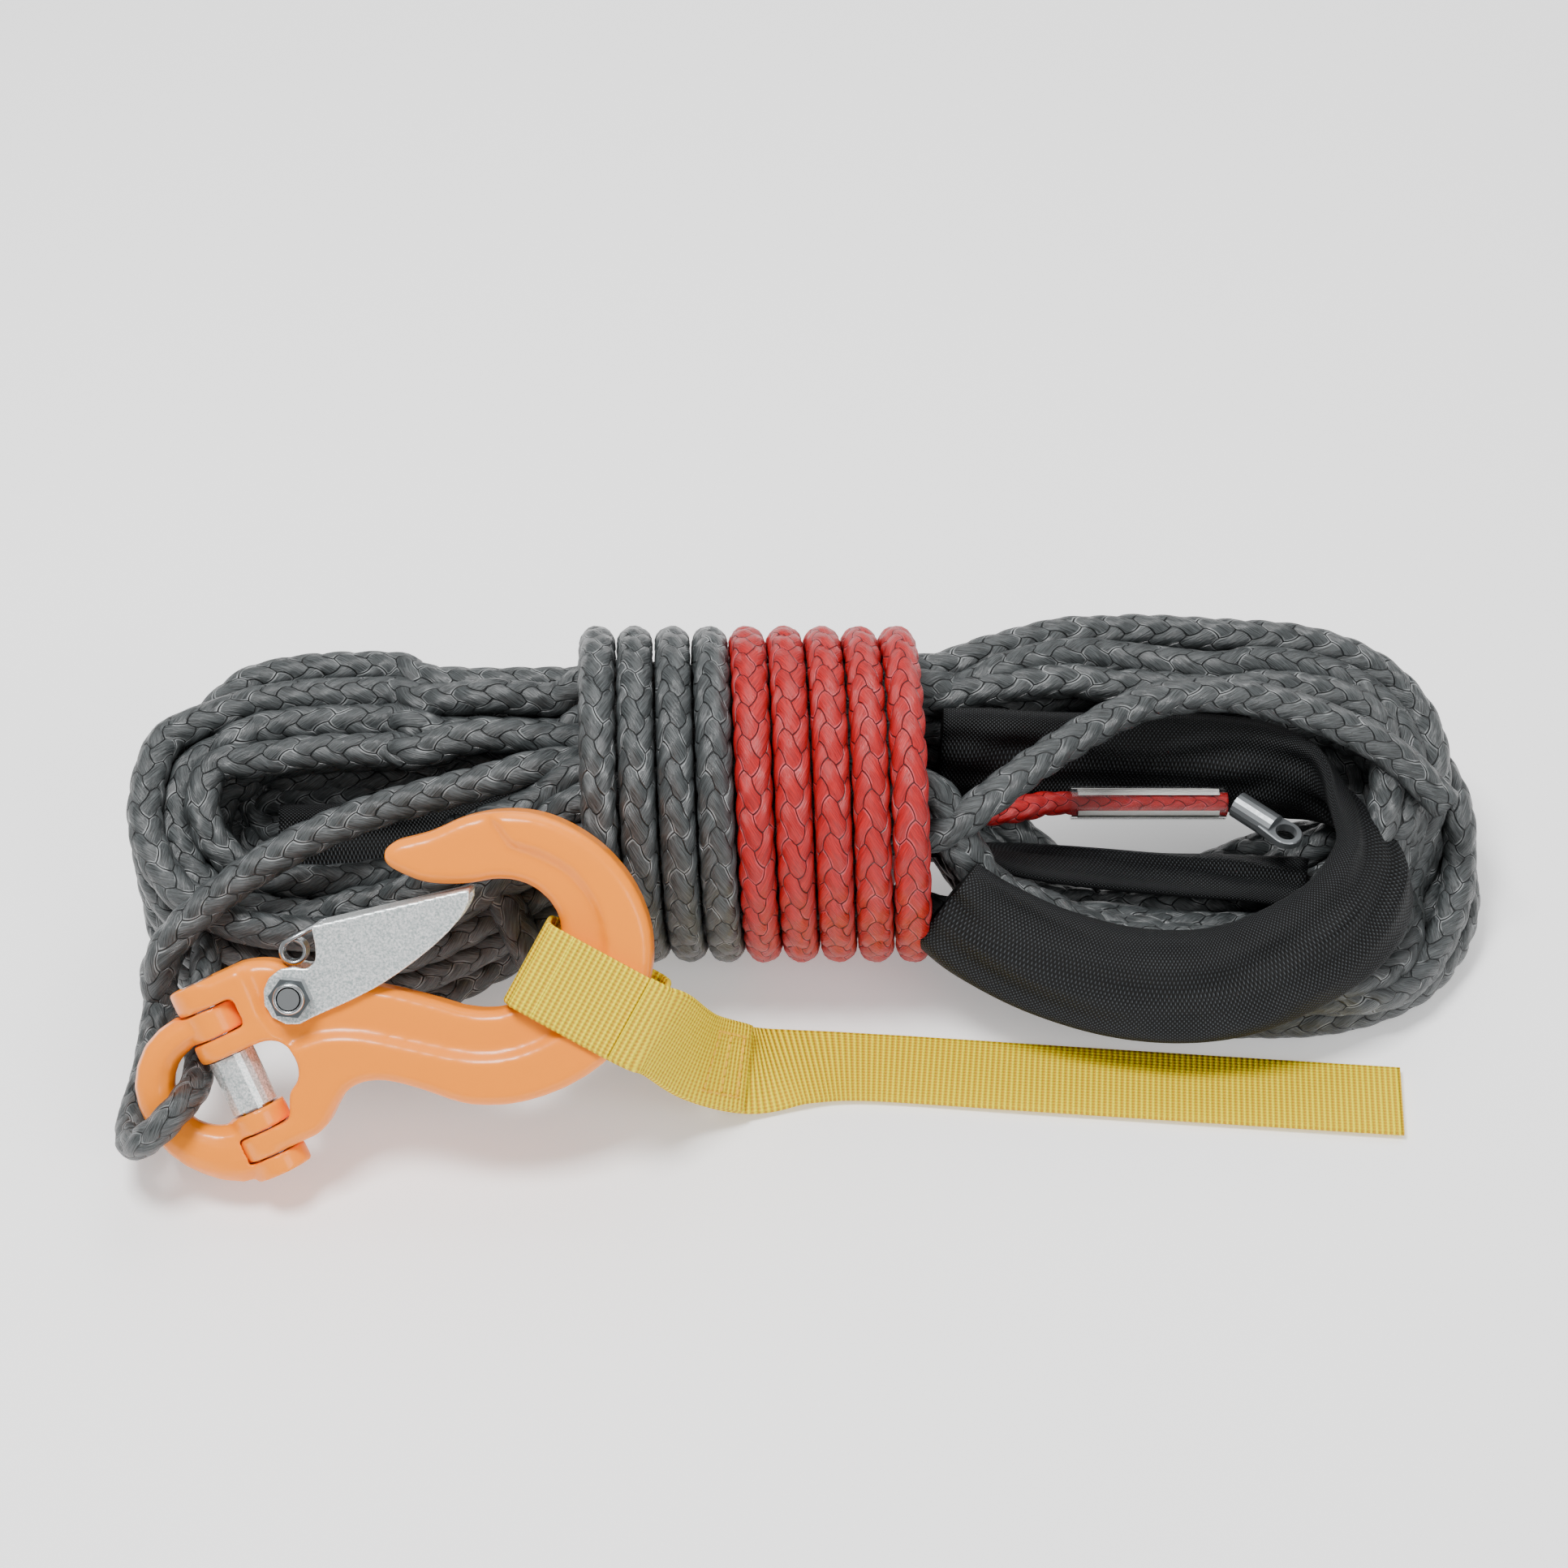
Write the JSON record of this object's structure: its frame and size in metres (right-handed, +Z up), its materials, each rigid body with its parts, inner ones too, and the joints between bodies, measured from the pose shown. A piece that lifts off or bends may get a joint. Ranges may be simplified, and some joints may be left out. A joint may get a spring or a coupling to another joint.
{
  "type": "synthetic winch rope",
  "caption": "Hank of braided synthetic winch rope, bound at its waist with its own end, with protective sleeve, drum lug, half-link safety hook and webbing pull strap.",
  "frame": {"origin": "on the floor, under the middle of the whole hank's box", "axes": "+X along the hank from its hook end to its winch end, +Y from its front to its back, +Z up"},
  "size_m": [0.396, 0.1776, 0.1],
  "materials": {
    "grey_rope": "satin",
    "red_rope": "satin",
    "sleeve_fabric": "matte",
    "clear_shrink": "gloss",
    "label_paper": "matte",
    "lug_metal": "satin",
    "orange_paint": "gloss",
    "zinc": "satin",
    "yellow_webbing": "satin"
  },
  "bodies": {
    "hank": {"rope_loops_left": "grey_rope", "rope_loops_right": "grey_rope", "wrap_grey": "grey_rope", "wrap_red": "red_rope", "front_strand": "grey_rope", "rope_eye": "grey_rope", "protective_sleeve": "sleeve_fabric", "sleeve_run_right": "sleeve_fabric", "sleeve_run_left": "sleeve_fabric", "red_tail": "red_rope", "heat_shrink": "clear_shrink", "label": "label_paper", "drum_lug": "lug_metal", "half_link": "orange_paint", "clevis_pin": "zinc", "pin_sleeve": "zinc"},
    "hook": {"hook_body": "orange_paint", "latch_bolt": "zinc", "latch_nut": "zinc", "pull_strap": "yellow_webbing"},
    "latch": {"latch": "zinc", "latch_spring": "zinc"}
  },
  "joints": [
    {"name": "hook_swing", "type": "hinge", "parent": "hank", "child": "hook", "pos_m": [-0.1577, -0.06596, 0.03185], "axis": [0.4163, -0.5844, -0.6965], "range_deg": [0, 48]},
    {"name": "latch_pivot", "type": "hinge", "parent": "hook", "child": "latch", "pos_m": [-0.14257, -0.05076, 0.04996], "axis": [0, 0.766, -0.6428], "range_deg": [0, 28], "stiffness_Nm_per_rad": 0.05, "springref_deg": -11.46}
  ]
}
